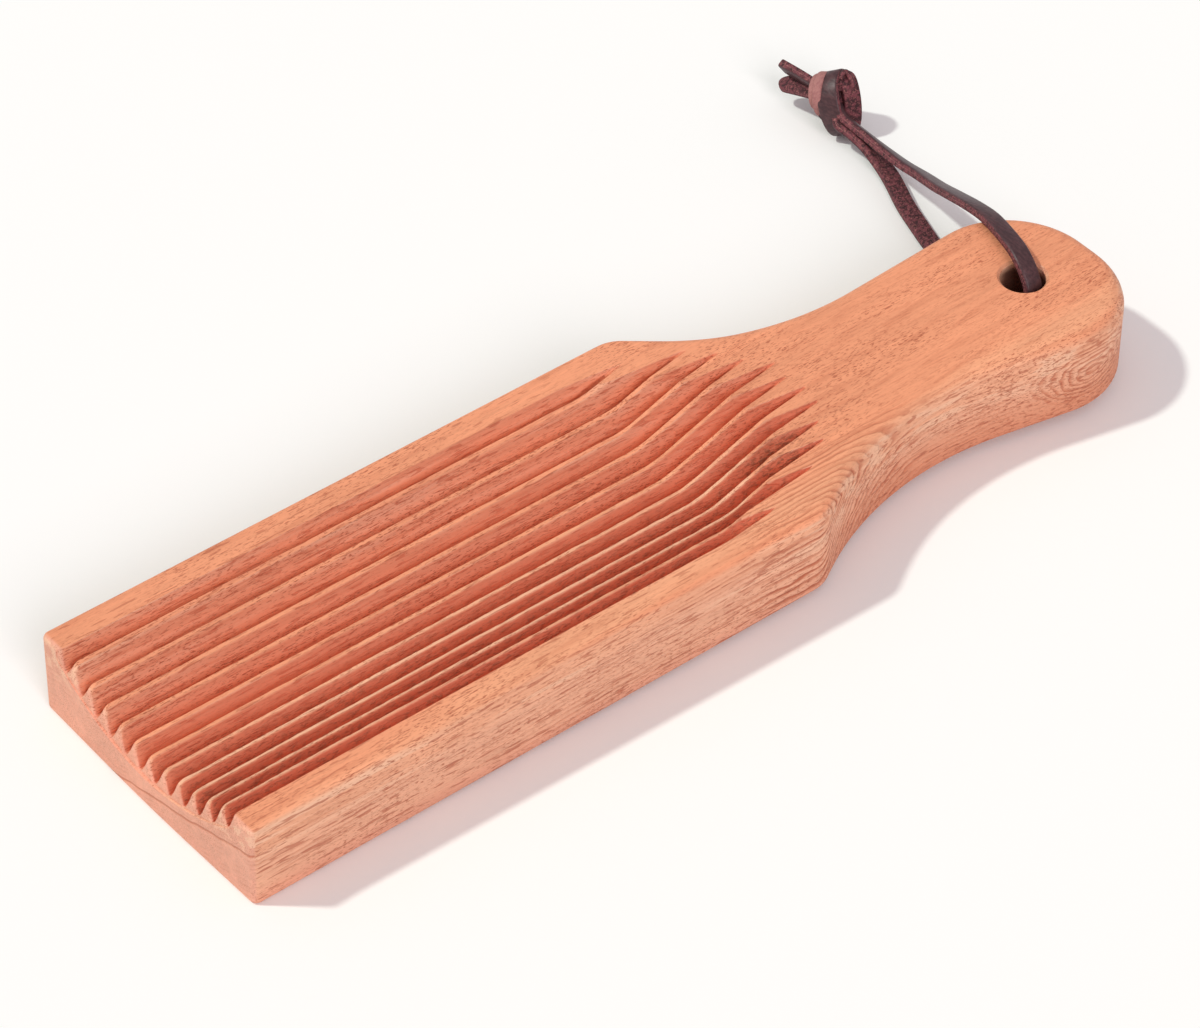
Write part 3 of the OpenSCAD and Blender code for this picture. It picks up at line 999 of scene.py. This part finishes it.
def beech_material(f):
    material, shader = new_material("beech")
    t = Tree(material.node_tree)
    coords = t.node("TexCoord")
    place = coords.outputs["Object"]
    parts = t.node("SeparateXYZ", {0: place}).outputs
    faces = t.node("SeparateXYZ", {0: coords.outputs["Normal"]}).outputs
    depth = t.node("Attribute", attribute_name="groove_depth").outputs["Fac"]

    across, upward, side_face = facing_masks(t, parts, faces)
    layer = growth_layer(t, place, parts)
    lines = all_lines(t, place, parts, layer)
    fibres = t.noise(t.stretch(place, FIBRES), 1.0, 4.0, 0.62)
    streaks = t.noise(t.stretch(place, STREAKS, (7, 2, 1)), 1.0, 3.0, 0.6)
    clouds = t.noise(t.stretch(place, CLOUDS), 1.0, 3.0)
    pores, flecks = pore_marks(t, place, parts, across, side_face)
    torn, shreds, torn_relief = torn_marks(t, place, parts, depth)

    base = layer_colours(t, layer, f)
    sawn = t.times(side_face, t.ramp(parts["Z"], 0.001, 0.006), 0.55)
    base = t.mix(sawn, base, rgba(f.side_wood))
    base = t.mix(t.times(across, 0.8), base, rgba(f.end_grain))
    tone = t.plus(1.0, t.centred(fibres, 0.34), t.centred(clouds, 0.26), t.centred(streaks, 0.30))
    base = t.mix(1.0, base, t.node("CombineColor", {0: tone, 1: tone, 2: tone}), "MULTIPLY")
    nose_line = t.times(t.ramp(layer, 6.9, 7.6), t.ramp(layer, 7.9, 7.6), across)
    lines = t.plus(t.times(lines, t.plus(1.0, t.times(across, -0.6))), nose_line)
    base = t.mix(t.times(lines, t.plus(0.5, t.times(side_face, 0.25))), base, rgba(f.late_wood_and_groove_shade))
    # Pale streaks with a painted highlight high on the sides
    base = side_colours(t, base, parts, side_face, streaks, f)
    base = t.mix(t.times(flecks, 0.6), base, rgba(f.pore))
    # Painted shade, painted light and painted highlights in the grooves
    base = groove_colours(t, base, parts, depth, upward, f)
    base = t.mix(t.times(torn, 0.6), base, rgba(f.torn))
    base = t.mix(t.times(pores, 0.8), base, rgba(f.pore))
    base = t.mix(t.times(shreds, 0.7), base, rgba(f.torn))
    # Painted shade on the hole's wall
    base = t.mix(t.times(hole_mask(t, parts), 0.9), base, rgba(f.hole_shade))
    t.feed(shader.inputs["Base Color"], base)
    t.feed(shader.inputs["Roughness"], t.plus(0.56, t.times(depth, 0.2), t.centred(fibres, 0.2)))
    shader.inputs["Specular IOR Level"].default_value = 0.3

    relief = t.plus(
        t.times(pores, -0.6), t.times(lines, -0.9), t.times(flecks, -0.6), t.centred(fibres, 0.9),
        torn_relief,
    )
    bump = t.node("Bump", {"Height": relief, "Strength": 0.6, "Distance": 0.25 * MM})
    t.feed(shader.inputs["Normal"], bump)
    return material


def edge_colours(t, side, fluff, specks, f):
    """The strip's cut edges, and the paler wide cut faces in the knot"""
    edge = t.mix(t.ramp(fluff, 0.35, 0.62), rgba(f.flesh_dark), rgba(f.flesh_side))
    edge = t.mix(t.times(t.ramp(specks, 0.55, 0.65), 0.8), edge, rgba(f.cut_edge))
    edge = t.mix(t.ramp(t.math("ABSOLUTE", side), 0.05, 0.0), edge, rgba(f.raw_edge))
    return t.mix(t.times(t.ramp(fluff, 0.42, 0.66), 0.35), edge, rgba(f.flesh_side))


def leather_material(f):
    material, shader = new_material("lace_leather")
    t = Tree(material.node_tree)
    place = t.node("TexCoord").outputs["Object"]
    side = t.node("Attribute", attribute_name="leather_side").outputs["Fac"]
    flesh, grain = t.ramp(side, -0.55, -0.85), t.ramp(side, 0.55, 0.85)
    specks = t.noise(place, SPECKS, 2.0, 0.7)
    fluff = t.noise(t.stretch(place, FLUFF, (1, 2, 3)), 1.0, 3.0, 0.7)
    rubbed = t.noise(t.stretch(place, RUBBED, (4, 0, 2)), 1.0, 2.0)
    creases = t.noise(t.stretch(place, CREASES), 1.0, 3.0, 0.6)

    rough_side = t.mix(t.ramp(fluff, 0.42, 0.60), rgba(f.flesh_dark), rgba(f.flesh_side))
    rough_side = t.mix(t.times(t.ramp(specks, 0.54, 0.66), 0.55), rough_side, rgba(f.cut_edge))
    smooth_side = t.mix(t.ramp(creases, 0.3, 0.75), rgba(f.grain_side), rgba(f.grain_worn))
    spots = t.times(t.ramp(rubbed, 0.5, 0.7), t.ramp(specks, 0.5, 0.62), 0.35)
    smooth_side = t.mix(spots, smooth_side, rgba(f.flesh_side))
    base = t.mix(flesh, edge_colours(t, side, fluff, specks, f), rough_side)
    base = t.mix(grain, base, smooth_side)
    t.feed(shader.inputs["Base Color"], base)
    t.feed(shader.inputs["Roughness"], t.plus(0.78, t.times(grain, -0.36), t.centred(fluff, 0.2)))
    shader.inputs["Specular IOR Level"].default_value = 0.4
    rise = t.plus(t.times(fluff, t.math("SUBTRACT", 1.2, grain)), t.times(creases, 0.5))
    bump = t.node("Bump", {"Height": rise, "Strength": 0.7, "Distance": 0.3 * MM})
    t.feed(shader.inputs["Normal"], bump)
    return material


# The stage

CAMERA_PLACE = Vector((-0.49563, -0.57778, 0.69521))
CAMERA_RIGHT = Vector((0.775949, -0.630506, 0.019132))
CAMERA_UP = Vector((0.411603, 0.529068, 0.742072))
LENS_MM, SENSOR_MM = 150, 36
CLIP_NEAR, CLIP_FAR = 0.05, 50
FLOOR_HALF = 4
FLOOR_SEEN = (0.98, 1, 0.96, 1)
KEY_FROM, KEY_STRENGTH, KEY_TINT = Vector((-0.47, 0.39, 0.79)), 1.58, (0.95, 1.0, 0.94)
FILL_FROM, FILL_STRENGTH, FILL_TINT = Vector((-0.25, -0.79, 0.56)), 1.2, (1.0, 0.90, 0.97)
KEY_DEGREES, FILL_DEGREES = 4, 28
ROOM_TINT, ROOM_STRENGTH = (1, 0.92, 0.98, 1), 0.43


def add_camera():
    back = CAMERA_RIGHT.cross(CAMERA_UP).normalized()
    up = back.cross(CAMERA_RIGHT).normalized()
    turn = Matrix((CAMERA_RIGHT.normalized(), up, back)).transposed()
    data = bpy.data.cameras.new("photo camera")
    data.lens, data.sensor_width = LENS_MM, SENSOR_MM
    data.clip_start, data.clip_end = CLIP_NEAR, CLIP_FAR
    camera = add_object("photo camera", data)
    camera.matrix_world = Matrix.Translation(CAMERA_PLACE) @ turn.to_4x4()
    bpy.context.scene.camera = camera


def add_floor(f):
    bm = bmesh.new()
    bmesh.ops.create_grid(bm, x_segments=1, y_segments=1, size=FLOOR_HALF)
    floor = mesh_object("studio_floor", bm)
    material, shader = new_material("studio floor")
    t = Tree(material.node_tree)
    seen = t.node("LightPath").outputs["Is Camera Ray"]
    t.feed(shader.inputs["Base Color"], t.mix(seen, rgba(f.floor), FLOOR_SEEN))
    shader.inputs["Roughness"].default_value = 1.0
    shader.inputs["Specular IOR Level"].default_value = 0.0
    floor.data.materials.append(material)


def add_sun(name, towards, energy, degrees, tint):
    data = bpy.data.lights.new(name, "SUN")
    data.energy, data.angle, data.color = energy, math.radians(degrees), tint
    lamp = add_object(name, data)
    lamp.rotation_mode = "QUATERNION"
    lamp.rotation_quaternion = towards.to_track_quat("Z", "Y")


def add_light():
    world = bpy.data.worlds.new("soft studio")
    bpy.context.scene.world = world
    world.use_nodes = True
    t = Tree(world.node_tree)
    world.node_tree.nodes.clear()
    path = t.node("LightPath")
    white = t.node("Background", {"Color": (1, 1, 1, 1), "Strength": 1.0})
    soft = t.node("Background", {"Color": ROOM_TINT, "Strength": ROOM_STRENGTH})
    mixed = t.node("MixShader", {0: path.outputs["Is Camera Ray"], 1: soft, 2: white})
    out = t.tree.nodes.new("ShaderNodeOutputWorld")
    t.feed(out.inputs["Surface"], mixed)
    add_sun("key", KEY_FROM, KEY_STRENGTH, KEY_DEGREES, KEY_TINT)
    add_sun("fill", FILL_FROM, FILL_STRENGTH, FILL_DEGREES, FILL_TINT)


# Operators


class GNOCCHI_OT_stage(bpy.types.Operator):
    """Adds the camera, the pale floor and the soft studio light"""

    bl_idname = "gnocchi.stage"
    bl_label = "Stage"

    def execute(self, context):
        add_camera()
        add_floor(finishes())
        add_light()
        context.scene.view_settings.view_transform = "Standard"
        return {"FINISHED"}


class GNOCCHI_OT_lace(bpy.types.Operator):
    """Adds the leather lace: its loop, its two tails and the knot"""

    bl_idname = "gnocchi.lace"
    bl_label = "Leather Lace"

    def execute(self, context):
        lace = lace_sizes()
        leather = leather_material(finishes())
        loop, path = strip("leather_loop", LOOP, -LACE_AXIS, LACE_AXIS, lace, grain=-1)
        upper, _ = strip("leather_tail_upper", TAIL_UPPER, LACE_AXIS, UPPER_END, lace)
        lower, _ = strip(
            "leather_tail_lower", TAIL_LOWER, LACE_AXIS, LOWER_END, lace,
            steps=8, round_tip=lace.lace_t,
        )
        knot = make_knot(lace)
        finish_piece(loop, leather, ["lace_loop"])
        finish_piece(upper, leather, ["lace_tail_upper"])
        finish_piece(lower, leather, ["lace_tail_lower"])
        for part in knot:
            finish_piece(part, leather, ["lace_knot"])
        return {"FINISHED"}


class GNOCCHI_OT_board(bpy.types.Operator):
    """Adds the beech board with its ridged scoop and its hole"""

    bl_idname = "gnocchi.board"
    bl_label = "Beech Board"

    def execute(self, context):
        board = make_board(board_sizes(), lace_sizes().lace_t)
        finish_piece(board, beech_material(finishes()), ["board"])
        return {"FINISHED"}


class GNOCCHI_PT_panel(bpy.types.Panel):
    """Lists the steps that build the gnocchi board"""

    bl_idname = "GNOCCHI_PT_panel"
    bl_label = "Gnocchi Board"
    bl_space_type = "VIEW_3D"
    bl_region_type = "UI"
    bl_category = "Gnocchi Board"

    def draw(self, context):
        column = self.layout.column()
        for step in STEPS:
            column.operator(step.bl_idname)
        for group in (board_sizes(), lace_sizes(), finishes()):
            box = self.layout.box()
            for name in group.bl_rna.properties.keys():
                if name not in ("rna_type", "name"):
                    box.prop(group, name)


STEPS = (GNOCCHI_OT_stage, GNOCCHI_OT_lace, GNOCCHI_OT_board)
CLASSES = (BoardSizes, LaceSizes, Finishes, *STEPS, GNOCCHI_PT_panel)


def register():
    for each in CLASSES:
        bpy.utils.register_class(each)
    scene = bpy.types.Scene
    scene.gnocchi_board = bpy.props.PointerProperty(type=BoardSizes)
    scene.gnocchi_lace = bpy.props.PointerProperty(type=LaceSizes)
    scene.gnocchi_finishes = bpy.props.PointerProperty(type=Finishes)


def unregister():
    for name in ("gnocchi_board", "gnocchi_lace", "gnocchi_finishes"):
        delattr(bpy.types.Scene, name)
    for each in reversed(CLASSES):
        bpy.utils.unregister_class(each)


def main():
    register()
    bpy.ops.gnocchi.stage()
    bpy.ops.gnocchi.lace()
    bpy.ops.gnocchi.board()


if __name__ == "__main__":
    main()
